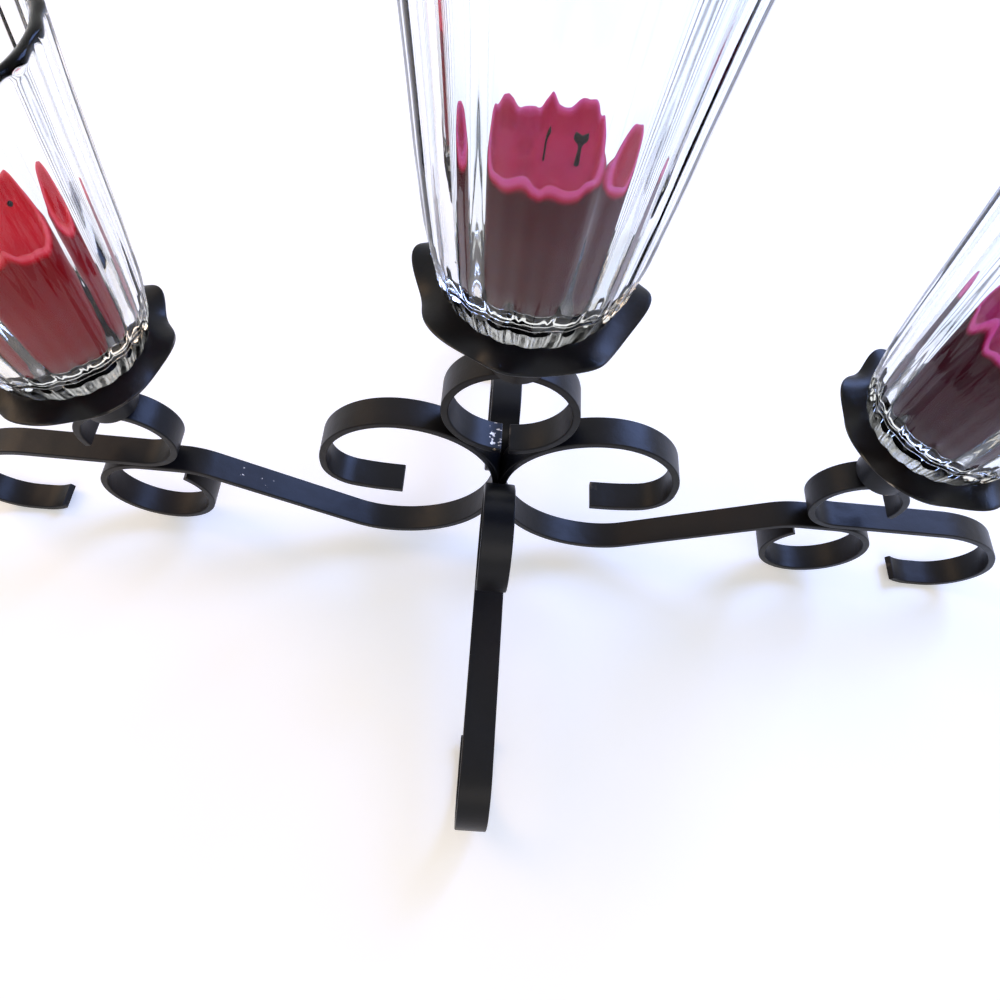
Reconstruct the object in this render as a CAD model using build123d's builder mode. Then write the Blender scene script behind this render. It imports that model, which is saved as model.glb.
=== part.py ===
from build123d import *

import os
from math import acos, cos, degrees, pi, radians, sin, sqrt

os.makedirs("parts", exist_ok=True)

# A wrought candelabra of bent flat bar for three glass cups with votive candles.
# Lengths are millimetres. X runs along the row of candles, Y from front (-) to rear (+), Z up.
# The origin is the middle of the stand on the surface that carries it.

# Bar stock
BAR_W = 12.7
BAR_T = 3.0
WELD_GAP = 0.1

# Arms: two mirrored bars, back to back at the waist, in the XZ plane
WAIST_Z = 63.5
WAIST_H = 5.0
SHOULDER_R = 40.0
SCROLL_R = 33.0
SCROLL_DROP = 2.0
SCROLL_END_R = 15.0
SCROLL_END_TURN = 78.0
SCROLL_TAIL_R = 85.0
SCROLL_TAIL_TURN = 10.0
SCROLL_TAIL = 6.0
SAG_R = 48.5
RISE_R = 34.0
RISE_ANGLE = 28.8
LEVEL_R = 27.0
ARM_TOP_Z = 55.0
ROLL_R = 23.5
ROLL_TURN = 315.0

# Outer legs: the bars that carry the outer cups, in the XZ plane
TOWER_X = 155.0
LAP = 1.5
CURL_R = 18.5
CURL_TURN = 289.0
OUTER_RUN = 50.0
OUTER_BEND_R = 45.0

# Front and rear legs, in the YZ plane
LEG_CURL_R = 21.5
LEG_CURL_TURN = 280.0
LEG_REACH = 140.0

# Hooked feet, alike on all four legs
HOOK_R = 20.0
FOOT_FLAT = 6.0
HOOK_END_TURN = 35.0

# Centre ring, split at the bottom
RING_OUTER_R = 25.8
RING_SPLIT = 3.0

# Candle cups and their rivets
CUP_H = 36.2
CUP_BASE_R = 10.3
CUP_RIM_R = 12.6
CUP_WALL = 1.2
CUP_FLOOR = 1.6
RIVET_R = 2.0
RIVET_HEAD_R = 4.0
RIVET_HEAD_H = 1.8
RIVET_CLEARANCE = 0.1

# Ruffled dishes on the cup rims
DISH_T = 1.0
DISH_HOLE_R = 10.8
DISH_FLAT_R = 28.0
DISH_R = 38.0
DISH_RISE = 3.7
RUFFLES = 8
RUFFLE_OUT = 1.5
RUFFLE_DIP = 2.0

# Fluted glasses, with a peg that plugs into the cup
GLASS_H = 105.0
GLASS_WALL = 3.2
GLASS_FLOOR = 6.5
FLUTES = 22
FLUTE_DEPTH = 0.8
PEG_H = 22.0
PEG_R = 9.6
PEG_TIP_R = 8.8
SEAT_CLEARANCE = 0.3
# Outer radius of the glass at shares of its height, foot to rim
GLASS_PROFILE = ((0.0, 26.8), (0.08, 29.2), (0.2, 31.4), (0.4, 33.4), (0.6, 34.9), (0.8, 36.6), (1.0, 38.8))

# Votive candles, wicks and wick clips
CANDLE_R = 20.0
CANDLE_H = 34.0
CANDLE_DRAFT = 1.2
POOL_R = 14.5
POOL_DEPTH = 4.5
CANDLE_LIP_R = 2.2
WICK_R = 1.0
WICK_SHOWS = 5.0
WICK_CURL_R = 3.0
CLIP_R = 7.0
CLIP_T = 0.4
CLIP_COLLAR_R = 1.7
CLIP_COLLAR_H = 4.0
CLIP_CLEARANCE = 0.2

HALF_T = BAR_T / 2
HALF_W = BAR_W / 2
FRONT = Plane(origin=(0, 0, 0), x_dir=(0, -1, 0), z_dir=(-1, 0, 0))


def bar_face(start, heading, steps):
    """Draw the side view of a flat bar whose centre line leaves start along heading, in degrees.

    A step is (length, 0) for a straight run, or (radius, turn) for an arc that turns left by turn
    degrees, right when turn is negative."""
    ends = []
    with BuildLine() as outline:
        for side in (1, -1):
            along = Vector(cos(radians(heading)), sin(radians(heading)))
            at = Vector(*start) + Vector(-along.Y, along.X) * side * HALF_T
            first = at
            for size, turn in steps:
                if turn:
                    edge = JernArc(at, along, size - side * HALF_T * (1 if turn > 0 else -1), turn)
                else:
                    edge = Line(at, at + along * size)
                at = edge @ 1
                along = edge % 1
            ends.append((first, at))
        Line(ends[0][0], ends[1][0])
        Line(ends[0][1], ends[1][1])
    make_face(outline.edges())


def save(piece, name):
    piece.part.label = name
    export_step(piece.part, f"parts/{name}.step")


# Arms
arm_line_z = ARM_TOP_Z - HALF_T
waist_low = WAIST_Z - WAIST_H / 2
waist_top = WAIST_Z + WAIST_H / 2
sag_z = waist_low - SAG_R
rise_drop = (RISE_R + LEVEL_R) * (1 - cos(radians(RISE_ANGLE)))
rise_run = (arm_line_z - sag_z - rise_drop) / sin(radians(RISE_ANGLE))
level_x = HALF_T + SAG_R + (RISE_R + LEVEL_R) * sin(radians(RISE_ANGLE)) + rise_run * cos(radians(RISE_ANGLE))
roll_x = TOWER_X + LAP

with BuildPart() as arm_right:
    with BuildSketch(Plane.XZ):
        bar_face(
            (HALF_T, WAIST_Z),
            90,
            [
                (WAIST_H / 2, 0),
                (SHOULDER_R, -90),
                (SCROLL_R, -90),
                (SCROLL_DROP, 0),
                (SCROLL_END_R, -SCROLL_END_TURN),
                (SCROLL_TAIL_R, -SCROLL_TAIL_TURN),
                (SCROLL_TAIL, 0),
            ],
        )
        bar_face(
            (HALF_T, WAIST_Z),
            -90,
            [
                (WAIST_H / 2, 0),
                (SAG_R, 90),
                (RISE_R, RISE_ANGLE),
                (rise_run, 0),
                (LEVEL_R, -RISE_ANGLE),
                (roll_x - level_x, 0),
                (ROLL_R, -ROLL_TURN),
            ],
        )
    extrude(amount=HALF_W, both=True)
save(arm_right, "arm_right")

with BuildPart() as arm_left:
    mirror(arm_right.part, about=Plane.YZ)
save(arm_left, "arm_left")

# Outer legs
outer_line_z = ARM_TOP_Z + HALF_T
curl_z = outer_line_z + CURL_R
curl_top_z = curl_z + CURL_R + HALF_T
bend_turn = degrees(acos((HALF_T + OUTER_BEND_R + HOOK_R - outer_line_z) / (OUTER_BEND_R - HOOK_R)))
outer_foot_x = TOWER_X + OUTER_RUN + (OUTER_BEND_R - HOOK_R) * sin(radians(bend_turn))

with BuildPart() as outer_leg_right:
    with BuildSketch(Plane.XZ):
        bar_face((TOWER_X, outer_line_z), 180, [(CURL_R, -CURL_TURN)])
        bar_face(
            (TOWER_X, outer_line_z),
            0,
            [
                (OUTER_RUN, 0),
                (OUTER_BEND_R, -bend_turn),
                (HOOK_R, bend_turn - 180),
                (FOOT_FLAT, 0),
                (HOOK_R, -HOOK_END_TURN),
            ],
        )
    extrude(amount=HALF_W, both=True)
    with Locations(Plane.XY.offset(curl_top_z)):
        with Locations((TOWER_X, 0)):
            Hole(RIVET_R + RIVET_CLEARANCE, depth=2 * BAR_T)
save(outer_leg_right, "outer_leg_right")

with BuildPart() as outer_leg_left:
    mirror(outer_leg_right.part, about=Plane.YZ)
save(outer_leg_left, "outer_leg_left")

# Front and rear legs
leg_line_z = HALF_T + 2 * HOOK_R
leg_curl_y = HALF_W + HALF_T + LEG_CURL_R
hook_y = LEG_REACH - HALF_T - HOOK_R

with BuildPart() as leg_front:
    with BuildSketch(FRONT):
        bar_face((leg_curl_y, leg_line_z), 180, [(LEG_CURL_R, -LEG_CURL_TURN)])
        bar_face(
            (leg_curl_y, leg_line_z),
            0,
            [(hook_y - leg_curl_y, 0), (HOOK_R, -180), (FOOT_FLAT, 0), (HOOK_R, -HOOK_END_TURN)],
        )
    extrude(amount=HALF_W, both=True)
save(leg_front, "leg_front")

with BuildPart() as leg_rear:
    mirror(leg_front.part, about=Plane.XZ)
save(leg_rear, "leg_rear")

# Centre ring, in the V between the two shoulders
ring_r = RING_OUTER_R - HALF_T
shoulder_x = HALF_T + SHOULDER_R
contact = SHOULDER_R + HALF_T + RING_OUTER_R + WELD_GAP
ring_z = waist_top + sqrt(contact**2 - shoulder_x**2)
ring_top_z = ring_z + RING_OUTER_R
split_angle = degrees(RING_SPLIT / ring_r)

with BuildPart() as center_ring:
    with BuildSketch(Plane.XZ):
        bar_face((0, ring_z + ring_r), 0, [(ring_r, -180 + split_angle / 2)])
        bar_face((0, ring_z + ring_r), 180, [(ring_r, 180 - split_angle / 2)])
    extrude(amount=HALF_W, both=True)
    with Locations((0, 0, ring_top_z)):
        Hole(RIVET_R + RIVET_CLEARANCE, depth=2 * BAR_T)
save(center_ring, "center_ring")


def candle_cup(x, z):
    """Slightly tapered cup that stands on a curl or on the ring at height z."""
    with BuildPart() as cup:
        with BuildSketch(Plane.XZ.shift_origin((x, 0, z))):
            with BuildLine():
                Polyline(
                    (RIVET_R + RIVET_CLEARANCE, 0),
                    (CUP_BASE_R, 0),
                    (CUP_RIM_R, CUP_H),
                    (CUP_RIM_R - CUP_WALL, CUP_H),
                    (CUP_BASE_R - CUP_WALL, CUP_FLOOR),
                    (RIVET_R + RIVET_CLEARANCE, CUP_FLOOR),
                    close=True,
                )
            make_face()
        revolve(axis=Axis((x, 0, 0), (0, 0, 1)))
    return cup


def cup_rivet(x, z, inner_r):
    """Rivet through the cup's floor and a bar whose inner radius is inner_r."""
    upper = z + CUP_FLOOR
    lower = z - BAR_T - inner_r + sqrt(inner_r**2 - RIVET_HEAD_R**2)
    dome_r = (RIVET_HEAD_R**2 + RIVET_HEAD_H**2) / (2 * RIVET_HEAD_H)
    half_r = RIVET_HEAD_R / 2
    half_h = RIVET_HEAD_H - dome_r + sqrt(dome_r**2 - half_r**2)
    with BuildPart() as rivet:
        with BuildSketch(Plane.XZ.shift_origin((x, 0, 0))):
            with BuildLine():
                Line((0, upper + RIVET_HEAD_H), (0, lower - RIVET_HEAD_H))
                ThreePointArc((0, lower - RIVET_HEAD_H), (half_r, lower - half_h), (RIVET_HEAD_R, lower))
                Polyline((RIVET_HEAD_R, lower), (RIVET_R, lower), (RIVET_R, upper), (RIVET_HEAD_R, upper))
                ThreePointArc((RIVET_HEAD_R, upper), (half_r, upper + half_h), (0, upper + RIVET_HEAD_H))
            make_face()
        revolve(axis=Axis((x, 0, 0), (0, 0, 1)))
    return rivet


# One ruffle of a dish: a loft from one valley over a lobe to the next valley
with BuildPart() as ruffle:
    for step in range(5):
        angle = 360 / RUFFLES * (step / 4 - 0.5)
        wave = cos(radians(angle * RUFFLES))
        rim_r = DISH_R + RUFFLE_OUT * wave
        rim_z = DISH_RISE - RUFFLE_DIP * wave
        with BuildSketch(Plane.XZ.rotated((0, 0, angle))):
            with BuildLine():
                Line((DISH_HOLE_R, 0), (DISH_HOLE_R, DISH_T))
                Line((DISH_HOLE_R, DISH_T), (DISH_FLAT_R, DISH_T))
                Spline((DISH_FLAT_R, DISH_T), (rim_r, DISH_T + rim_z), tangents=((1, 0), (1, 0.25)))
                Line((rim_r, DISH_T + rim_z), (rim_r, rim_z))
                Spline((rim_r, rim_z), (DISH_FLAT_R, 0), tangents=((-1, -0.25), (-1, 0)))
                Line((DISH_FLAT_R, 0), (DISH_HOLE_R, 0))
            make_face()
    loft()


def ruffled_dish(x, z):
    """Stamped dish of equal ruffles, with a valley at the front."""
    with BuildPart() as dish:
        with Locations((x, 0, z)):
            with PolarLocations(0, RUFFLES, start_angle=90 / RUFFLES * 2):
                add(ruffle.part)
    return dish


def fluted_glass(x, z):
    """Pressed glass with vertical flutes outside, a round inside and a peg below its foot."""
    with BuildPart() as glass:
        for share, radius in GLASS_PROFILE:
            with BuildSketch(Plane.XY.offset(z + share * GLASS_H)):
                with BuildLine():
                    for flute in range(FLUTES):
                        edges = [2 * pi * (flute + part) / FLUTES for part in (0, 0.5, 1)]
                        radii = (radius - FLUTE_DEPTH, radius, radius - FLUTE_DEPTH)
                        ThreePointArc(*[(x + r * cos(a), r * sin(a)) for r, a in zip(radii, edges)])
                make_face()
        loft(ruled=True)
        with BuildSketch(Plane.XZ.shift_origin((x, 0, z))):
            inside = [(r - FLUTE_DEPTH - GLASS_WALL, share * GLASS_H) for share, r in GLASS_PROFILE]
            inside[0] = (inside[0][0], GLASS_FLOOR)
            with BuildLine():
                Polyline((0, GLASS_FLOOR), *inside, (0, GLASS_H), close=True)
            make_face()
        revolve(axis=Axis((x, 0, 0), (0, 0, 1)), mode=Mode.SUBTRACT)
        with BuildSketch(Plane.XZ.shift_origin((x, 0, z))):
            with BuildLine():
                Polyline((0, 0), (PEG_R, 0), (PEG_TIP_R, -PEG_H), (0, -PEG_H), close=True)
            make_face()
        revolve(axis=Axis((x, 0, 0), (0, 0, 1)))
    return glass


def votive_candle(x, z):
    """Burnt votive: a slight draft, a rounded lip, a shallow pool and a seat for the wick clip."""
    with BuildPart() as candle:
        with BuildSketch(Plane.XZ.shift_origin((x, 0, z))):
            with BuildLine():
                hole = WICK_R + CLIP_CLEARANCE
                collar = CLIP_COLLAR_R + CLIP_CLEARANCE
                seat = CLIP_R + CLIP_CLEARANCE
                seat_z = CLIP_T + CLIP_CLEARANCE
                Line((seat, 0), (CANDLE_R - CANDLE_DRAFT, 0))
                Line((CANDLE_R - CANDLE_DRAFT, 0), (CANDLE_R, CANDLE_H - CANDLE_LIP_R))
                lip = JernArc((CANDLE_R, CANDLE_H - CANDLE_LIP_R), (0, 1), CANDLE_LIP_R, 90)
                Line(lip @ 1, (POOL_R, CANDLE_H))
                ThreePointArc(
                    (POOL_R, CANDLE_H),
                    (POOL_R * 0.55, CANDLE_H - POOL_DEPTH * 0.82),
                    (hole, CANDLE_H - POOL_DEPTH),
                )
                Line((hole, CANDLE_H - POOL_DEPTH), (hole, CLIP_COLLAR_H + CLIP_CLEARANCE))
                Line((hole, CLIP_COLLAR_H + CLIP_CLEARANCE), (collar, CLIP_COLLAR_H + CLIP_CLEARANCE))
                Line((collar, CLIP_COLLAR_H + CLIP_CLEARANCE), (collar, seat_z))
                Line((collar, seat_z), (seat, seat_z))
                Line((seat, seat_z), (seat, 0))
            make_face()
        revolve(axis=Axis((x, 0, 0), (0, 0, 1)))
    return candle


def wick_clip(x, z):
    """Tin disc with a collar that holds the wick's foot."""
    with BuildPart() as clip:
        with Locations((x, 0, z)):
            Cylinder(CLIP_R, CLIP_T, align=(Align.CENTER, Align.CENTER, Align.MIN))
            Cylinder(CLIP_COLLAR_R, CLIP_COLLAR_H, align=(Align.CENTER, Align.CENTER, Align.MIN))
            Cylinder(WICK_R, CLIP_COLLAR_H, align=(Align.CENTER, Align.CENTER, Align.MIN), mode=Mode.SUBTRACT)
    return clip


def candle_wick(x, z):
    """Burnt wick: straight through the wax, with a curled tip."""
    straight = CANDLE_H - POOL_DEPTH + WICK_SHOWS
    with BuildPart() as wick:
        with BuildLine(Plane.XZ.shift_origin((x, 0, z))) as route:
            shank = Line((0, CLIP_T), (0, straight))
            JernArc(shank @ 1, shank % 1, WICK_CURL_R, -60)
        with BuildSketch(Plane(origin=(x, 0, z + CLIP_T))):
            Circle(WICK_R)
        sweep()
    return wick


places = (("left", -TOWER_X, curl_top_z, CURL_R - HALF_T), ("center", 0.0, ring_top_z, ring_r - HALF_T),
          ("right", TOWER_X, curl_top_z, CURL_R - HALF_T))
for side, x, z, inner_r in places:
    save(candle_cup(x, z), f"candle_cup_{side}")
    save(cup_rivet(x, z, inner_r), f"cup_rivet_{side}")
    save(ruffled_dish(x, z + CUP_H), f"dish_{side}")
    seat = z + CUP_H + DISH_T + SEAT_CLEARANCE
    save(fluted_glass(x, seat), f"glass_{side}")
    floor = seat + GLASS_FLOOR + SEAT_CLEARANCE
    save(votive_candle(x, floor), f"candle_{side}")
    save(wick_clip(x, floor), f"wick_clip_{side}")
    save(candle_wick(x, floor), f"wick_{side}")
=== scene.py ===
# %% [markdown]
# A wrought candelabra of bent flat bar, with three fluted glass cups.
#
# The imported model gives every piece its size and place. This file gives the pieces their looks: bars
# with rounded edges and worn black paint, thin ruffled dishes, thick pressed glass, and votive candles
# with a burnt, wavy rim. Everything is in metres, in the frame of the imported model.

# %% Load the frame
from math import acos, atan2, ceil, cos, degrees, radians, sin

import bmesh
import bpy
from mathutils import Matrix, Vector, noise


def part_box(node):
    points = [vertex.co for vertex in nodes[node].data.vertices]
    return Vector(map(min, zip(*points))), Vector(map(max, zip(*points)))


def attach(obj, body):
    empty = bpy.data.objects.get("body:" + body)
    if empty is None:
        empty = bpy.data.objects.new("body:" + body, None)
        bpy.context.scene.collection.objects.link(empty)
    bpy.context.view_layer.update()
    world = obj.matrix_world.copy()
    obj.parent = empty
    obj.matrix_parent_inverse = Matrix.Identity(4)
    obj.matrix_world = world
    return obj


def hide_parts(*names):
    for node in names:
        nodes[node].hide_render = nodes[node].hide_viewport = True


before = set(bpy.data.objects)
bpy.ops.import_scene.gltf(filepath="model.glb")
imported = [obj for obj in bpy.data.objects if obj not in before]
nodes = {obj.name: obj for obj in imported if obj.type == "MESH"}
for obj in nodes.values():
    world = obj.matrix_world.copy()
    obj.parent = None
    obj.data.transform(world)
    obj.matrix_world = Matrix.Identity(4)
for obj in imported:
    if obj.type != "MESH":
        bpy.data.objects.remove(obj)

scene = bpy.context.scene
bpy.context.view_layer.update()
MM = 0.001
SIDES = ("left", "center", "right")
print("nodes in the frame:", len(nodes))

# %% [markdown]
# Colours are written as the hex values that an artist would pick, and the shader wants linear light,
# so one function turns the first into the second. Another adds a shader node, sets its inputs and
# links it, which keeps each material short enough to read.

# %% Colour and node helpers
def linear(hex_colour):
    """sRGB hex, such as '#1a1a1c', to the linear red, green, blue and alpha that shaders use."""
    parts = [int(hex_colour[i : i + 2], 16) / 255 for i in (1, 3, 5)]
    return tuple(c / 12.92 if c <= 0.04045 else ((c + 0.055) / 1.055) ** 2.4 for c in parts) + (1.0,)


def tune(node, **settings):
    """Set a node: in_Name_Of_Input sets that input, and any other name an attribute of the node."""
    for name, value in settings.items():
        if name.startswith("in_"):
            node.inputs[name[3:].replace("_", " ")].default_value = value
        else:
            setattr(node, name, value)
    return node


def add_node(tree, kind, links=None, **settings):
    """Add one shader node with its settings. links maps its inputs to the sockets that feed them."""
    node = tune(tree.nodes.new(kind), **settings)
    for name, socket in (links or {}).items():
        tree.links.new(socket, node.inputs[name])
    return node


def new_material(name):
    """An empty material: itself, its tree, its surface shader and the Object coordinates."""
    material = bpy.data.materials.new(name)
    material.use_nodes = True
    tree = material.node_tree
    tree.nodes.clear()
    shader = add_node(tree, "ShaderNodeBsdfPrincipled")
    add_node(tree, "ShaderNodeOutputMaterial", {"Surface": shader.outputs["BSDF"]})
    place = add_node(tree, "ShaderNodeTexCoord").outputs["Object"]
    return material, tree, shader, place


print("black paint, linear:", [round(c, 4) for c in linear("#0e0d0f")[:3]])

# %% [markdown]
# Every finish here is made of a few steps: noise at a real scale, a spread from one range of values
# to another, a sum or a product, a colour ramp and a relief. Each step is one function that takes a
# value and gives back a value, so that a finish reads as a recipe.

# %% The steps of a finish
def noise_at(tree, place, scale, detail):
    """Noise whose features are some 1/scale metres apart."""
    texture = add_node(tree, "ShaderNodeTexNoise", {"Vector": place}, in_Scale=scale, in_Detail=detail)
    return texture.outputs["Fac"]


def spread(tree, value, low, high, to_low=0.0, to_high=1.0):
    """Spread the part of a value between low and high from to_low to to_high, and no further."""
    ranged = add_node(
        tree,
        "ShaderNodeMapRange",
        {"Value": value},
        in_From_Min=low,
        in_From_Max=high,
        in_To_Min=to_low,
        in_To_Max=to_high,
    )
    return ranged.outputs[0]


def combine(tree, operation, first, second):
    """The sum, product or maximum of two values, as operation says."""
    return add_node(tree, "ShaderNodeMath", {0: first, 1: second}, operation=operation).outputs[0]


def colour_ramp(tree, factor, stops):
    """A ramp from factor through (position, hex colour) stops."""
    ramp = add_node(tree, "ShaderNodeValToRGB", {"Fac": factor})
    while len(ramp.color_ramp.elements) < len(stops):
        ramp.color_ramp.elements.new(0.5)
    for element, (position, colour) in zip(ramp.color_ramp.elements, stops):
        element.position = position
        element.color = linear(colour)
    return ramp.outputs["Color"]


def relief(tree, height, strength, distance, under=None):
    """A bump of so many metres, on top of another one where under is given."""
    links = {"Height": height}
    if under:
        links["Normal"] = under
    return add_node(tree, "ShaderNodeBump", links, in_Strength=strength, in_Distance=distance).outputs[0]


print("steps:", [step.__name__ for step in (noise_at, spread, combine, colour_ramp, relief)])

# %% [markdown]
# The iron is hot-rolled bar under satin black lacquer. The eye gets a dark, slightly uneven film:
# faint brown and blue shifts, a fine orange peel, broader waves where the bar was bent, and rubbed
# edges where the steel shows. Roughness wanders a little, because a brushed lacquer is never even.
# The wear follows Geometry's Pointiness, which finds sharp edges, and a scuff is a patch of flakes.

# %% Black lacquered iron
def scuff(tree, place, centre, size, strength):
    """Flakes round centre: a blob that fades outward over size, broken up by fine noise."""
    centred = add_node(tree, "ShaderNodeVectorMath", {0: place}, operation="SUBTRACT")
    centred.inputs[1].default_value = centre
    squashed = add_node(tree, "ShaderNodeVectorMath", {0: centred.outputs[0]}, operation="DIVIDE")
    squashed.inputs[1].default_value = size
    reach = add_node(tree, "ShaderNodeVectorMath", {0: squashed.outputs[0]}, operation="LENGTH")
    near = spread(tree, reach.outputs["Value"], 1.0, 0.2, 0.0, strength)
    flake = combine(tree, "ADD", near, noise_at(tree, place, 420.0, 6.0))
    return spread(tree, flake, 0.83, 0.86)


def lacquered_iron(name, wear, scuffed=None):
    """Satin black over steel. wear is how much of the edges is rubbed bare, and scuffed is the
    (centre, size, strength) of a scuff."""
    material, tree, shader, place = new_material(name)
    tone = noise_at(tree, place, 16.0, 3.0)
    film = colour_ramp(tree, tone, ((0.3, "#0a0d15"), (0.5, "#0e0d0f"), (0.72, "#170f0c")))
    edge = add_node(tree, "ShaderNodeNewGeometry").outputs["Pointiness"]
    on_edges = spread(tree, edge, 0.535, 0.6)
    in_patches = spread(tree, noise_at(tree, place, 90.0, 5.0), 0.66 - 0.2 * wear, 0.74 - 0.2 * wear)
    bare = combine(tree, "MULTIPLY", on_edges, in_patches)
    if scuffed:
        bare = combine(tree, "MAXIMUM", bare, scuff(tree, place, *scuffed))
    steel = add_node(tree, "ShaderNodeMix", {"Factor": bare}, data_type="RGBA")
    film_input, steel_input = [socket for socket in steel.inputs if socket.type == "RGBA"]
    tree.links.new(film, film_input)
    steel_input.default_value = linear("#a89a86")
    mixed = [socket for socket in steel.outputs if socket.type == "RGBA"][0]
    tree.links.new(mixed, shader.inputs["Base Color"])
    tree.links.new(spread(tree, tone, 0.25, 0.75, 0.32, 0.48), shader.inputs["Roughness"])
    tree.links.new(bare, shader.inputs["Metallic"])
    broad = relief(tree, noise_at(tree, place, 70.0, 2.0), 0.35, 1.2 * MM)
    fine = relief(tree, noise_at(tree, place, 950.0, 2.0), 0.12, 0.3 * MM, broad)
    tree.links.new(fine, shader.inputs["Normal"])
    tune(shader, in_Specular_IOR_Level=0.2)
    return material


ARM_SCUFF = ((-0.104, 0, 0.05), (0.024, 0.008, 0.02), 0.31)
iron = lacquered_iron("black_lacquered_iron", 0.35)
scratched = lacquered_iron("scratched_lacquered_iron", 0.5, ARM_SCUFF)
dish_iron = lacquered_iron("black_lacquered_dish", 0.8)
print("iron finishes:", iron.name, scratched.name, dish_iron.name)

# %% [markdown]
# Each bar of the real stand is one length of half-inch flat bar, bent cold round formers. So a bar is
# made here the way the smith makes it: a rounded section is pushed along straight runs and spun round
# arcs. The section is a grid face with bevelled corners, extrude makes a run, and spin makes a bend.
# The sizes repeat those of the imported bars, so that each new bar lies on the one it replaces.

# %% A bar's section and its bends
BAR_W = 12.7 * MM
BAR_T = 3.0 * MM
HALF_T = BAR_T / 2
EDGE_R = 0.55 * MM
END_R = 0.35 * MM
STEP = 1.3 * MM


def section(bm, start, heading):
    """A rounded rectangle across the bar, at start in the bending plane, looking along heading."""
    made = bmesh.ops.create_grid(bm, x_segments=1, y_segments=1, size=0.5)
    corners = made["verts"]
    bmesh.ops.scale(bm, vec=(BAR_T, BAR_W, 1), verts=corners)
    bmesh.ops.bevel(
        bm, geom=corners, offset=EDGE_R, segments=4, affect="VERTICES", profile=0.5, material=-1
    )
    turn = Matrix.Rotation(radians(90 - heading), 4, "Y")
    place = Matrix.Translation((start[0], 0, start[1])) @ turn
    bmesh.ops.transform(bm, matrix=place, verts=bm.verts)
    return bm.faces[:][0]


def face_at(bm, start):
    """The face whose middle is nearest to start in the bending plane."""
    place = Vector((start[0], 0, start[1]))
    return min(bm.faces, key=lambda face: (face.calc_center_median() - place).length)


def only(kind, items):
    """Those of some mesh items that are of one kind."""
    return [item for item in items if isinstance(item, kind)]


def bend(bm, face, start, heading, steps):
    """Push the section along the steps: (length, 0) is a run, (radius, turn) an arc, left positive."""
    at = Vector((start[0], 0, start[1]))
    angle = radians(heading)
    for size, turn in steps:
        along = Vector((cos(angle), 0, sin(angle)))
        end = [face, *face.edges, *face.verts]
        if turn == 0:
            grown = bmesh.ops.extrude_face_region(bm, geom=end)["geom"]
            bmesh.ops.translate(bm, vec=along * size, verts=only(bmesh.types.BMVert, grown))
            face = only(bmesh.types.BMFace, grown)[0]
            at = at + along * size
            continue
        sign = 1 if turn > 0 else -1
        centre = at + Vector((-along.z, 0, along.x)) * size * sign
        swept = bmesh.ops.spin(
            bm,
            geom=end,
            cent=centre,
            axis=(0, -1, 0),
            angle=radians(turn),
            steps=max(4, ceil(size * abs(radians(turn)) / STEP)),
            use_duplicate=False,
        )
        face = only(bmesh.types.BMFace, swept["geom_last"])[0]
        angle += radians(turn)
        at = centre - Vector((-sin(angle), 0, cos(angle))) * size * sign
    return face


print("bar section:", BAR_W / MM, "x", BAR_T / MM, "mm")

# %% [markdown]
# A bar leaves one section in two directions, so it is two chains of steps. Its ends are cut square
# and lightly dressed, and Weighted Normal keeps the flat faces flat in the light. The bending plane
# is the stand's own for the arms and outer legs, and lies fore and aft for the front and rear legs.

# %% A whole bar
SIDEWAYS = Matrix.Identity(4)
FORWARD = Matrix(((0, 1, 0, 0), (-1, 0, 0, 0), (0, 0, 1, 0), (0, 0, 0, 1)))
BACKWARD = Matrix(((0, 1, 0, 0), (1, 0, 0, 0), (0, 0, 1, 0), (0, 0, 0, 1)))


def finish_mesh(bm, name, material, body, cad_nodes):
    """Turn a bmesh into a piece that rides on a body and stands for its CAD nodes."""
    bmesh.ops.recalc_face_normals(bm, faces=bm.faces)
    mesh = bpy.data.meshes.new(name)
    bm.to_mesh(mesh)
    bm.free()
    mesh.shade_smooth()
    piece = bpy.data.objects.new(name, mesh)
    scene.collection.objects.link(piece)
    mesh.materials.append(material)
    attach(piece, body)
    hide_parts(*cad_nodes)
    return piece


def bent_bar(node, plane, mirrored, chains, material=iron):
    """A bar from two chains of steps that leave the same section, each (start, heading, steps)."""
    bm = bmesh.new()
    first, second = chains
    one_end = bend(bm, section(bm, first[0], first[1]), *first)
    other_end = bend(bm, face_at(bm, second[0]), *second)
    rims = list({edge for end in (one_end, other_end) for edge in end.edges})
    bmesh.ops.bevel(bm, geom=rims, offset=END_R, segments=2, affect="EDGES", profile=0.5, material=-1)
    bmesh.ops.transform(bm, matrix=plane, verts=bm.verts)
    if mirrored:
        bmesh.ops.scale(bm, vec=(-1, 1, 1), verts=bm.verts)
    piece = finish_mesh(bm, node + "_bar", material, "stand", [node])
    weights = piece.modifiers.new("even_light", "WEIGHTED_NORMAL")
    weights.keep_sharp = True
    print(piece.name, len(piece.data.polygons), "faces")
    return piece


print("a bend is cut into steps of", STEP / MM, "mm")

# %% [markdown]
# The arms are a mirrored pair, welded back to back at the waist. From there each bar goes up over a
# shoulder and round a large scroll, and the other way down, out and under itself into a rolled ring.

# %% Arms
TOWER_X = 155.0 * MM
ROLL_X = TOWER_X + 1.5 * MM
ARM_TOP_Z = 55.0 * MM
WAIST = (HALF_T, 63.5 * MM)
HALF_WAIST = 2.5 * MM
SHOULDER_R = 40.0 * MM
SCROLL_R = 33.0 * MM
SCROLL_DROP = 2.0 * MM
SCROLL_END_R = 15.0 * MM
SCROLL_TAIL_R = 85.0 * MM
SCROLL_TAIL = 6.0 * MM
SAG_R = 48.5 * MM
RISE_R = 34.0 * MM
RISE_ANGLE = 28.8
LEVEL_R = 27.0 * MM
ROLL_R = 23.5 * MM
ROLL_TURN = 315

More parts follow.
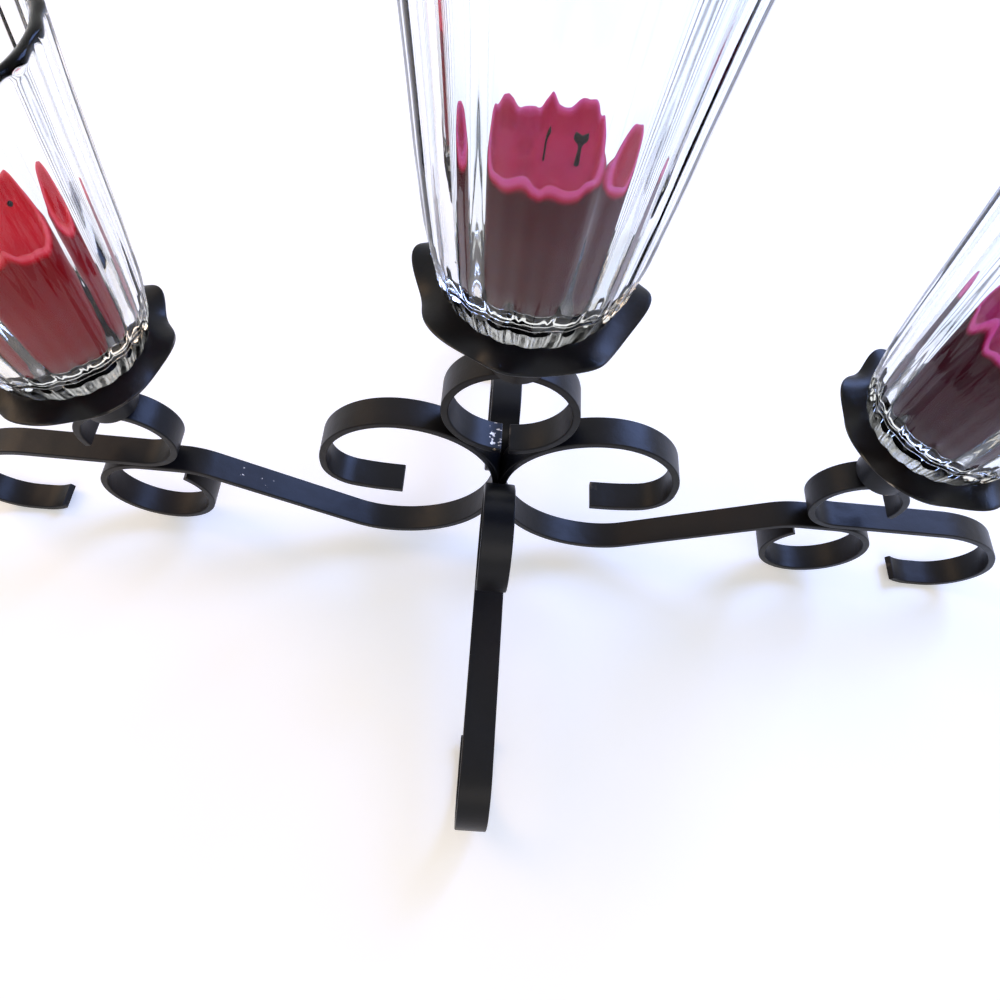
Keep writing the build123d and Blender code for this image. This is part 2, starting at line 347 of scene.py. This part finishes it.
rise = radians(RISE_ANGLE)
bends_r = RISE_R + LEVEL_R
sag_z = WAIST[1] - HALF_WAIST - SAG_R
rise_run = (ARM_TOP_Z - HALF_T - sag_z - bends_r * (1 - cos(rise))) / sin(rise)
level_x = HALF_T + SAG_R + bends_r * sin(rise) + rise_run * cos(rise)

scroll = [(HALF_WAIST, 0), (SHOULDER_R, -90), (SCROLL_R, -90), (SCROLL_DROP, 0)]
scroll += [(SCROLL_END_R, -78), (SCROLL_TAIL_R, -10), (SCROLL_TAIL, 0)]
cradle = [(HALF_WAIST, 0), (SAG_R, 90), (RISE_R, RISE_ANGLE), (rise_run, 0)]
cradle += [(LEVEL_R, -RISE_ANGLE), (ROLL_X - level_x, 0), (ROLL_R, -ROLL_TURN)]
arm_chains = [(WAIST, 90, scroll), (WAIST, -90, cradle)]
bent_bar("arm_right", SIDEWAYS, False, arm_chains)
bent_bar("arm_left", SIDEWAYS, True, arm_chains, scratched)

# %% [markdown]
# The outer legs lie on the arms. One end curls up and back to carry a candle cup, and the other runs
# out and drops into a hooked foot. The front and rear legs curl against the waist in the same way.

# %% Legs
HOOK_R = 20.0 * MM
FOOT_FLAT = 6.0 * MM
FOOT_END = (HOOK_R, -35)
CURL_R = 18.5 * MM
CURL_TURN = 289
OUTER_RUN = 50.0 * MM
OUTER_BEND_R = 45.0 * MM
LEG_CURL_R = 21.5 * MM
LEG_CURL_TURN = 280
LEG_REACH = 140.0 * MM

outer_start = (TOWER_X, ARM_TOP_Z + HALF_T)
bend_turn = degrees(acos((HALF_T + OUTER_BEND_R + HOOK_R - outer_start[1]) / (OUTER_BEND_R - HOOK_R)))
outer_run = [(OUTER_RUN, 0), (OUTER_BEND_R, -bend_turn), (HOOK_R, bend_turn - 180)]
outer_run += [(FOOT_FLAT, 0), FOOT_END]
outer_chains = [(outer_start, 0, outer_run), (outer_start, 180, [(CURL_R, -CURL_TURN)])]
bent_bar("outer_leg_right", SIDEWAYS, False, outer_chains)
bent_bar("outer_leg_left", SIDEWAYS, True, outer_chains)

leg_start = (BAR_W / 2 + HALF_T + LEG_CURL_R, HALF_T + 2 * HOOK_R)
leg_run = [(LEG_REACH - HALF_T - HOOK_R - leg_start[0], 0), (HOOK_R, -180), (FOOT_FLAT, 0), FOOT_END]
leg_chains = [(leg_start, 0, leg_run), (leg_start, 180, [(LEG_CURL_R, -LEG_CURL_TURN)])]
bent_bar("leg_front", FORWARD, False, leg_chains)
bent_bar("leg_rear", BACKWARD, False, leg_chains)

# %% [markdown]
# The centre ring is a short bar rolled round until its ends nearly meet at the bottom. One end has
# lost its paint, so the ring gets its own finish with a scuff there.

# %% Centre ring
RING_SPLIT = 3.0 * MM
ring_low, ring_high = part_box("center_ring")
ring_r = (ring_high.x - ring_low.x) / 2 - HALF_T
ring_top = (0, ring_high.z - HALF_T)
half_turn = 180 - degrees(RING_SPLIT / ring_r) / 2
worn_end = (-0.0035, 0, ring_high.z - 2 * ring_r)
end_scuff = (worn_end, (0.006, 0.014, 0.006), 0.34)
ring_iron = lacquered_iron("ring_lacquered_iron", 0.35, end_scuff)
ring_chains = [(ring_top, 0, [(ring_r, -half_turn)]), (ring_top, 180, [(ring_r, half_turn)])]
bent_bar("center_ring", SIDEWAYS, False, ring_chains, ring_iron)
print("ring radius", round(ring_r / MM, 2), "mm")

# %% [markdown]
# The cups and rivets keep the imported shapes: a turned cup and a domed head are right as they are.

# %% Cups and rivets
def repaint(node, material):
    """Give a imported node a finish."""
    materials = nodes[node].data.materials
    materials.clear()
    materials.append(material)


for side in SIDES:
    repaint(f"candle_cup_{side}", iron)
    repaint(f"cup_rivet_{side}", iron)
print("painted", 2 * len(SIDES), "packed nodes")

# %% [markdown]
# A turned form is made the way a potter or a spinner makes it: a circle is extruded from ring to ring,
# each scaled to the next radius and set to the next height. Dishes, glasses and candles all use it.

# %% Turned shells
def centre_of(node):
    """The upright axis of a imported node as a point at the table, and the node's lowest and highest z."""
    low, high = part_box(node)
    return Vector(((low.x + high.x) / 2, 0, 0)), low.z, high.z


def add_ring(bm, edges, radius, height, centre, last_radius):
    """Extrude a loop of edges to a new radius and height, and give back the new loop."""
    grown = bmesh.ops.extrude_edge_only(bm, edges=edges)["geom"]
    verts = only(bmesh.types.BMVert, grown)
    factor = radius / last_radius
    axis = Matrix.Translation((-centre.x, 0, 0))
    bmesh.ops.scale(bm, vec=(factor, factor, 1), verts=verts, space=axis)
    for vert in verts:
        vert.co.z = height
    return only(bmesh.types.BMEdge, grown)


def turned(centre, rings, points, closed=True):
    """A turned shell through (radius, height) rings, with both ends filled where closed."""
    bm = bmesh.new()
    radius, height = rings[0]
    foot = Matrix.Translation((centre.x, centre.y, height))
    bmesh.ops.create_circle(bm, segments=points, radius=radius, matrix=foot)
    first = bm.edges[:]
    edges = first
    for next_radius, next_height in rings[1:]:
        edges = add_ring(bm, edges, next_radius, next_height, centre, radius)
        radius = next_radius
    if closed:
        for loop in (first, edges):
            bmesh.ops.edgeloop_fill(bm, edges=loop)
    return bm


def from_axis(vert, centre):
    """The way from the upright axis out to a vertex."""
    return Vector((vert.co.x - centre.x, vert.co.y, 0))


print("cup axes at", [round(centre_of(f"glass_{side}")[0].x / MM) for side in SIDES], "mm")

# %% [markdown]
# The dishes are thin sheet, pressed into eight soft ruffles. The ruffles grow from nothing at the
# glass's foot to their full wave at the rim, and no two are quite alike. The photograph shows the
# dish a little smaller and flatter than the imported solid, so the visible one follows the photograph.

# %% Ruffled dishes
DISH_HOLE_R = 10.9 * MM
DISH_R = 34.5 * MM
DISH_FLAT_R = 25.0 * MM
DISH_T = 1.0 * MM
DISH_RINGS = 22
DISH_POINTS = 192
DROOP = 1.0 * MM
RUFFLES = 8
RUFFLE_OUT = 1.5 * MM
RUFFLE_UP = 1.9 * MM
UNEVEN_OUT = 0.9 * MM
UNEVEN_UP = 0.5 * MM


def ruffle_sheet(bm, centre, seed):
    """Wave a flat sheet out and in and up and down, with ruffles that are a little uneven."""
    for vert in bm.verts:
        away = from_axis(vert, centre)
        share = max(0.0, (away.length - DISH_FLAT_R) / (DISH_R - DISH_FLAT_R))
        angle = atan2(away.y, away.x)
        uneven = noise.noise(Vector((cos(angle) * 1.6, sin(angle) * 1.6, seed)))
        wave = cos(RUFFLES * angle + 1.6 * uneven + seed)
        vert.co += away.normalized() * (RUFFLE_OUT * wave + UNEVEN_OUT * uneven) * share**2
        vert.co.z += (RUFFLE_UP * wave + UNEVEN_UP * uneven) * share**1.6 - DROOP * share**2


for seed, side in enumerate(SIDES):
    centre, low_z, high_z = centre_of(f"dish_{side}")
    steps = [i / DISH_RINGS for i in range(DISH_RINGS + 1)]
    sheet_rings = [(DISH_HOLE_R + (DISH_R - DISH_HOLE_R) * step, low_z + DISH_T) for step in steps]
    bm = turned(centre, sheet_rings, DISH_POINTS, closed=False)
    ruffle_sheet(bm, centre, 1.3 * seed)
    dish = finish_mesh(bm, f"dish_{side}_ruffled", dish_iron, "stand", [f"dish_{side}"])
    sheet = dish.modifiers.new("sheet", "SOLIDIFY")
    sheet.thickness = DISH_T
    sheet.offset = -1 if dish.data.polygons[0].normal.z > 0 else 1
    edge = dish.modifiers.new("rolled_edge", "BEVEL")
    edge.width = 0.3 * MM
    edge.segments = 2
    edge.limit_method = "ANGLE"
    print(dish.name, len(dish.data.polygons), "faces before its thickness")

# %% [markdown]
# Glass is clear, so all it has is its index, a little surface ripple from the mould and the faint
# grey-green of thick soda-lime glass. The specular tint takes the white room's reflection down to
# what the photograph shows, so that the wax behind the glass keeps its depth.

# %% Pressed glass
def pressed_glass():
    """Clear soda-lime glass with a faint mould ripple, some 20 mm apart."""
    material, tree, shader, place = new_material("pressed_soda_lime_glass")
    ripple = noise_at(tree, place, 50.0, 1.0)
    tree.links.new(relief(tree, ripple, 0.15, 0.6 * MM), shader.inputs["Normal"])
    tint = colour_ramp(tree, ripple, ((0.3, "#f4f8f6"), (0.7, "#ffffff")))
    tree.links.new(tint, shader.inputs["Base Color"])
    tune(
        shader,
        in_Roughness=0.02,
        in_IOR=1.5,
        in_Specular_Tint=linear("#5c5e62"),
        in_Transmission_Weight=1.0,
    )
    return material


glass = pressed_glass()
print("glass finish:", glass.name)

# %% [markdown]
# The cups that hold the candles are pressed soda-lime glass, thick at the foot, with broad flutes
# outside and a smooth bore. The shape starts as a small circle at the tip of the peg and is extruded
# ring by ring over the foot, up the outside, over the rim and down the bore, so the wall is a real
# thickness, which is what makes glass look like glass. Then the outside is drawn in between flutes.

# %% Glasses
FLUTES = 22
RING_POINTS = FLUTES * 10
WALL_RINGS = 44
FLUTE_DEPTH = 0.8 * MM
GLASS_WALL = 3.2 * MM
INSET = FLUTE_DEPTH + GLASS_WALL
GLASS_FLOOR = 6.5 * MM
GLASS_H = 105.0 * MM
PEG_H = 22.0 * MM
FADE_SHARE = 0.03
RIM_FLUTE = 0.35
PROFILE = ((0.0, 26.8), (0.08, 29.2), (0.2, 31.4), (0.4, 33.4), (0.6, 34.9), (0.8, 36.6), (1.0, 38.8))


def glass_radius(share):
    """Outer radius at a share of the height, straight between the rings of PROFILE."""
    for (a, ra), (b, rb) in zip(PROFILE, PROFILE[1:]):
        if share <= b:
            return (ra + (rb - ra) * (share - a) / (b - a)) * MM
    return PROFILE[-1][1] * MM


def in_millimetres(base, rings):
    """Rings written as (radius, height over base) in millimetres."""
    return [(radius * MM, base + height * MM) for radius, height in rings]


def glass_rings(base):
    """Rings from the peg's tip, over the foot, up the outside, over the rim and down the bore."""
    shares = [i / WALL_RINGS for i in range(WALL_RINGS + 1)]
    rim = glass_radius(1.0)
    rim_z = base + GLASS_H
    rings = [(1.5 * MM, base - PEG_H), (8.0 * MM, base - PEG_H), (8.8 * MM, base - PEG_H + 0.8 * MM)]
    rings += in_millimetres(base, ((9.5, -1.2), (9.6, 0), (24.6, 0), (26.0, 0.15), (26.6, 0.7)))
    rings += [(glass_radius(s), base + s * GLASS_H) for s in shares if 0.012 < s < 0.985]
    rings += [(rim - 0.1 * MM, rim_z - 1.0 * MM), (rim - 0.9 * MM, rim_z - 0.2 * MM)]
    rings += [(rim - 1.8 * MM, rim_z), (rim - 2.9 * MM, rim_z - 0.3 * MM)]
    rings += [(glass_radius(s) - INSET, base + s * GLASS_H) for s in reversed(shares) if 0.12 < s < 0.98]
    rings += in_millimetres(base, ((24.4, 10.2), (23.2, 8.2), (21.2, 6.9)))
    return rings + [(18.0 * MM, base + GLASS_FLOOR), (1.5 * MM, base + GLASS_FLOOR)]


def flute(bm, centre, base):
    """Draw the outer wall in between the flutes: soft waves up the wall, which fade at the rim, and
    scallops under the foot."""
    for vert in bm.verts:
        share = (vert.co.z - base) / GLASS_H
        away = from_axis(vert, centre)
        if share < -0.001 or away.length <= glass_radius(max(share, 0)) - INSET / 2:
            continue
        angle = atan2(away.y, away.x)
        valley = 0.5 + 0.5 * cos(angle * FLUTES)
        if share <= 0.02:
            valley = 0.8 - 0.8 * abs(sin(angle * FLUTES / 2))
        fade = min(1.0, max(0.0, (1.0 - share) / FADE_SHARE) + RIM_FLUTE)
        vert.co -= away.normalized() * FLUTE_DEPTH * valley * fade


for side in SIDES:
    centre, low_z, high_z = centre_of(f"glass_{side}")
    base = high_z - GLASS_H
    bm = turned(centre, glass_rings(base), RING_POINTS)
    flute(bm, centre, base)
    node = f"glass_{side}"
    cup = finish_mesh(bm, f"glass_{side}_pressed", glass, node, [node])
    print(cup.name, "rests at", round(base / MM, 1), "mm,", len(cup.data.polygons), "faces")

# %% [markdown]
# Wax scatters light under its skin. Principled's subsurface does that with a radius of a few
# millimetres, more in red than in blue. The colour follows a value noted on the shape. It runs from the
# dyed body over the clear hollow, painted a lighter red as light falling on the upward pool, to the
# burnt rim, painted as a pale pink highlight where the light catches the thin lip. A noise keeps the
# borders soft.

# %% Wax
def dyed_wax(name, body, body_dark, rim, hollow):
    """Candle wax: dyed body with its mottle, the clear hollow painted a lighter red as light falls on it,
    and the rim painted as a pale pink highlight.
    """
    material, tree, shader, place = new_material(name)
    melt_and_light = add_node(tree, "ShaderNodeAttribute", attribute_name="melt_and_light").outputs["Fac"]
    cloud = spread(tree, noise_at(tree, place, 130.0, 4.0), 0.0, 1.0, -0.07, 0.07)
    # The hollow and rim stops are painted light: the dyed body made lighter where light falls on the pool
    # and catches the lip.
    stops = ((0.0, body_dark), (0.12, body), (0.45, hollow), (0.92, rim))
    colour = colour_ramp(tree, combine(tree, "ADD", melt_and_light, cloud), stops)
    tree.links.new(colour, shader.inputs["Base Color"])
    pores = relief(tree, noise_at(tree, place, 300.0, 2.0), 0.05, 0.4 * MM)
    tree.links.new(pores, shader.inputs["Normal"])
    tune(
        shader,
        in_Roughness=0.42,
        in_IOR=1.44,
        in_Specular_IOR_Level=0.06,
        in_Subsurface_Weight=0.35,
        in_Subsurface_Radius=(1.0, 0.25, 0.2),
        in_Subsurface_Scale=3.0 * MM,
    )
    return material


# Each row: the name, the dyed body, its darker mottle, the rim as a painted pale highlight, and the hollow
# painted lighter as lit.
WAX = {
    "left": ("red_wax", "#a8101a", "#8c0c16", "#f05a68", "#d81e30"),
    "center": ("maroon_wax", "#560c1a", "#480a14", "#d85a98", "#b41e48"),
    "right": ("plum_wax", "#4c0f22", "#3c0c1c", "#d85aa4", "#9c1e50"),
}
waxes = {side: dyed_wax(*WAX[side]) for side in SIDES}
print("waxes:", [wax.name for wax in waxes.values()])

# %% [markdown]
# A votive that has burnt for some hours keeps a thin wall round a hollow. The wall is lower in places
# where it melted, so its rim waves up and down. The rim and the hollow are painted lighter and pinker
# than the dyed body: a painted highlight on the thin lip and painted light on the upward pool. The
# shape is turned from rings as the glass was, and then the rim is raised and lowered.
# The photograph shows the candles 6 to 13 mm taller than the imported solids, so BURNT_H follows it.

# %% Candles
CANDLE_R = 20.0 * MM
CANDLE_FOOT = 0.94
CANDLE_POINTS = 160
SIDE_RINGS = 22
HOLLOW_R = 12.0 * MM
RIM_WAVE = 4.2 * MM
RIM_RIPPLE = 0.6 * MM
RIM_SINK = 2.2 * MM
SIDE_SINK = 0.5 * MM
SIDE_RIPPLE = 0.45 * MM
BURNT_H = {"left": 47.5 * MM, "center": 40.5 * MM, "right": 46.5 * MM}


def candle_rings(base, top):
    """Rings from the bottom, up the side, over the lip and down into the melted hollow."""
    wall_h = top - base - 2.5 * MM
    steps = [i / SIDE_RINGS for i in range(SIDE_RINGS + 1)]
    side = [(CANDLE_R * (CANDLE_FOOT + (1 - CANDLE_FOOT) * s), base + wall_h * s) for s in steps]
    lip = in_millimetres(top, ((19.7, -1.2), (18.9, -0.3), (17.9, 0), (16.8, -0.5), (15.9, -1.6)))
    hollow = in_millimetres(top, ((14.6, -3.4), (12.6, -4.9), (9.5, -5.8)))
    hollow += in_millimetres(top, ((6, -6.2), (2.5, -6.3), (1, -6.3)))
    return [(1.5 * MM, base)] + side + lip + hollow


def note_melt_and_light(bm, centre, top):
    """Note on each vertex what has melted, which sets the painted light: 0 is the dyed body, 0.5 the
    hollow, painted lighter as lit, and 1 the thin rim, painted as a pale highlight.
    """
    melt_and_light = bm.verts.layers.float.new("melt_and_light")
    for vert in bm.verts:
        radius = from_axis(vert, centre).length
        from_top = (top - vert.co.z) / MM
        if radius < CANDLE_R - 3.0 * MM and from_top < 9:
            vert[melt_and_light] = 0.5 + 0.5 * max(0.0, min(1.0, (radius / MM - 16.3) / 1.6))
        else:
            vert[melt_and_light] = max(0.0, min(1.0, 1.1 - from_top / 1.6))


def burn(bm, centre, base, top, seed):
    """Wave the rim, most at the top, and make the upper side uneven. The hollow's floor stays."""
    for vert in bm.verts:
        away = from_axis(vert, centre)
        if away.length <= HOLLOW_R:
            continue
        unit = away.normalized()
        share = max(0.0, (vert.co.z - base) / (top - base) - 0.45) / 0.55
        wave = noise.noise(Vector((unit.x * 1.7, unit.y * 1.7, seed)))
        small = noise.noise(Vector((unit.x * 4.5, unit.y * 4.5, seed + 9)))
        vert.co.z += (RIM_WAVE * wave + RIM_RIPPLE * small - RIM_SINK) * share**2
        vert.co -= unit * (SIDE_SINK + SIDE_RIPPLE * small) * share


for seed, side in enumerate(SIDES):
    node = f"candle_{side}"
    centre, base, high_z = centre_of(node)
    top = base + BURNT_H[side]
    bm = turned(centre, candle_rings(base, top), CANDLE_POINTS)
    note_melt_and_light(bm, centre, top)
    burn(bm, centre, base, top, 3.1 * seed)
    candle = finish_mesh(bm, f"candle_{side}_burnt", waxes[side], node, [node])
    print(candle.name, len(candle.data.polygons), "faces")

# %% [markdown]
# The wick is charred cotton braid, nearly black and very rough. Its clip at the bottom is thin tinned
# steel with a faint spangle.

# %% Cotton and tin
def charred_cotton():
    """Burnt braid: nearly black, very rough, with grain of about half a millimetre."""
    material, tree, shader, place = new_material("charred_cotton")
    grain = noise_at(tree, place, 1800.0, 2.0)
    colour = colour_ramp(tree, grain, ((0.3, "#0c0a09"), (0.8, "#2c2622")))
    tree.links.new(colour, shader.inputs["Base Color"])
    tree.links.new(relief(tree, grain, 0.8, 0.4 * MM), shader.inputs["Normal"])
    tune(shader, in_Roughness=0.95)
    return material


def tinned_steel():
    """Thin bright tinplate with faint spangle."""
    material, tree, shader, place = new_material("tinned_steel")
    spangle = add_node(tree, "ShaderNodeTexVoronoi", {"Vector": place}, in_Scale=400.0)
    colour = colour_ramp(tree, spangle.outputs["Distance"], ((0.0, "#b9bab8"), (1.0, "#d6d6d2")))
    tree.links.new(colour, shader.inputs["Base Color"])
    tune(shader, in_Metallic=1.0, in_Roughness=0.3)
    return material


char = charred_cotton()
tin = tinned_steel()
print("wick and clip:", char.name, tin.name)

# %% [markdown]
# A wick curls over as it burns: its round section is pushed up out of the wax and spun over to one
# side, and a fine noise frays it. That noise takes its offsets from a seed, which is the clock unless
# it is set, so it is set here and each run gives the same wicks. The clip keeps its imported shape.

# %% Wicks and clips
WICK_R = 0.9 * MM
WICK_ROOT = 8.5 * MM
WICK_STEPS = [(6.5 * MM, 0), (3.0 * MM, -62), (1.2 * MM, 0)]
FRAY = 0.12 * MM
FRAY_SEED = 7
noise.seed_set(FRAY_SEED)
for side in SIDES:
    centre, base, high_z = centre_of(f"candle_{side}")
    foot = Vector((centre.x, 0, base + BURNT_H[side] - WICK_ROOT))
    bm = bmesh.new()
    bmesh.ops.create_circle(bm, cap_ends=True, segments=14, radius=WICK_R, matrix=Matrix.Translation(foot))
    tip = bend(bm, bm.faces[:][0], (foot.x, foot.z), 90, WICK_STEPS)
    rim = list(tip.edges)
    bmesh.ops.bevel(bm, geom=rim, offset=0.3 * MM, segments=2, affect="EDGES", profile=0.5, material=-1)
    for vert in bm.verts:
        vert.co += noise.noise_vector(vert.co * 900) * FRAY
    wick = finish_mesh(bm, f"wick_{side}_charred", char, f"candle_{side}", [f"wick_{side}"])
    repaint(f"wick_clip_{side}", tin)
    print(wick.name, len(wick.data.polygons), "faces")

# %% [markdown]
# The stage is a plain pale floor that goes to white for the camera, for reflections and for what is
# seen through glass, while the light on the object stays at a plain level. Its diffuse part keeps the
# object's shadow. The world does the same round it.

# %% Floor and world
FLOOR_HALF = 1.5
FLOOR_Z = -0.2 * MM


def background_ray(tree):
    """1 for what the camera sees, directly or in a reflection or through glass, and else 0."""
    path = add_node(tree, "ShaderNodeLightPath")
    seen = path.outputs["Is Camera Ray"]
    for other in ("Is Glossy Ray", "Is Transmission Ray"):
        seen = combine(tree, "MAXIMUM", seen, path.outputs[other])
    return seen


def pale_stage(name, colour, lift):
    """A plain pale surface that lifts to white where it is seen, and keeps its shadows."""
    material = bpy.data.materials.new(name)
    material.use_nodes = True
    tree = material.node_tree
    tree.nodes.clear()
    plain = add_node(tree, "ShaderNodeBsdfDiffuse", in_Color=linear(colour))
    level = spread(tree, background_ray(tree), 0.0, 1.0, 0.0, lift)
    glow = add_node(tree, "ShaderNodeEmission", {"Strength": level}, in_Color=linear("#ffffff"))
    both = add_node(tree, "ShaderNodeAddShader", {0: plain.outputs[0], 1: glow.outputs[0]})
    add_node(tree, "ShaderNodeOutputMaterial", {"Surface": both.outputs[0]})
    return material


bm = bmesh.new()
bmesh.ops.create_grid(bm, x_segments=1, y_segments=1, size=FLOOR_HALF)
bmesh.ops.translate(bm, vec=(0, 0, FLOOR_Z), verts=bm.verts)
floor_mesh = bpy.data.meshes.new("floor")
bm.to_mesh(floor_mesh)
bm.free()
floor = bpy.data.objects.new("floor", floor_mesh)
scene.collection.objects.link(floor)
floor_mesh.materials.append(pale_stage("pale_floor", "#f4f4f2", 0.3))

world = bpy.data.worlds.new("studio")
scene.world = world
world.use_nodes = True
sky = world.node_tree
sky.nodes.clear()
strength = spread(sky, background_ray(sky), 0.0, 1.0, 0.5, 1.0)
background = add_node(sky, "ShaderNodeBackground", {"Strength": strength}, in_Color=linear("#ffffff"))
add_node(sky, "ShaderNodeOutputWorld", {"Surface": background.outputs[0]})
print("floor", 2 * FLOOR_HALF, "m wide")

# %% [markdown]
# Three large soft lamps light the stand: a cool one like a window from the right and behind, a warm
# one like a room from the left, and a weak one in front. The cool and warm ones give the black paint
# the blue and brown sheens of the photograph.

# %% Lamps
LIT_PLACE = Vector((0, 0, 0.1))
LAMPS = (
    ("window_light", (0.9, 0.9, 1.0), 0.8, 24.0, "#93b2ff"),
    ("room_light", (-1.1, 0.3, 0.9), 0.7, 6.5, "#ffd2a0"),
    ("front_light", (0.1, -1.2, 1.0), 0.8, 3.0, "#fff4ea"),
)
for name, place, size, power, colour in LAMPS:
    data = bpy.data.lights.new(name, "AREA")
    data.size = size
    data.energy = power
    data.color = linear(colour)[:3]
    lamp = bpy.data.objects.new(name, data)
    lamp.location = place
    lamp.rotation_euler = (LIT_PLACE - Vector(place)).to_track_quat("-Z", "Y").to_euler()
    scene.collection.objects.link(lamp)
    print(lamp.name, power, "W")

# %% [markdown]
# The photograph was taken from close by and above, with the camera a little turned and rolled. Its
# place and angles were worked out from the edges of the bars and rings, and are given here as a plain
# turn, tilt and roll.

# %% Camera
CAMERA_PLACE = (-13.0 * MM, -155.8 * MM, 338.5 * MM)
CAMERA_TURN = -5.58
CAMERA_TILT = 62.20
CAMERA_ROLL = 10.06
FOCAL_PIXELS = 719.0
PICTURE_PIXELS = 1000.0
SENSOR = 36.0
camera_data = bpy.data.cameras.new("photo_view")
camera_data.sensor_width = SENSOR
camera_data.lens = FOCAL_PIXELS / PICTURE_PIXELS * SENSOR
camera_data.clip_start = 0.01
camera = bpy.data.objects.new("photo_view", camera_data)
turned_view = Matrix.Rotation(radians(CAMERA_TURN), 4, "Z")
tilted_view = Matrix.Rotation(radians(90 - CAMERA_TILT), 4, "X")
rolled_view = Matrix.Rotation(radians(CAMERA_ROLL), 4, "Z")
camera.matrix_world = Matrix.Translation(CAMERA_PLACE) @ turned_view @ tilted_view @ rolled_view
scene.collection.objects.link(camera)
scene.camera = camera
scene.view_settings.view_transform = "Standard"
print("lens", round(camera_data.lens, 2), "mm")
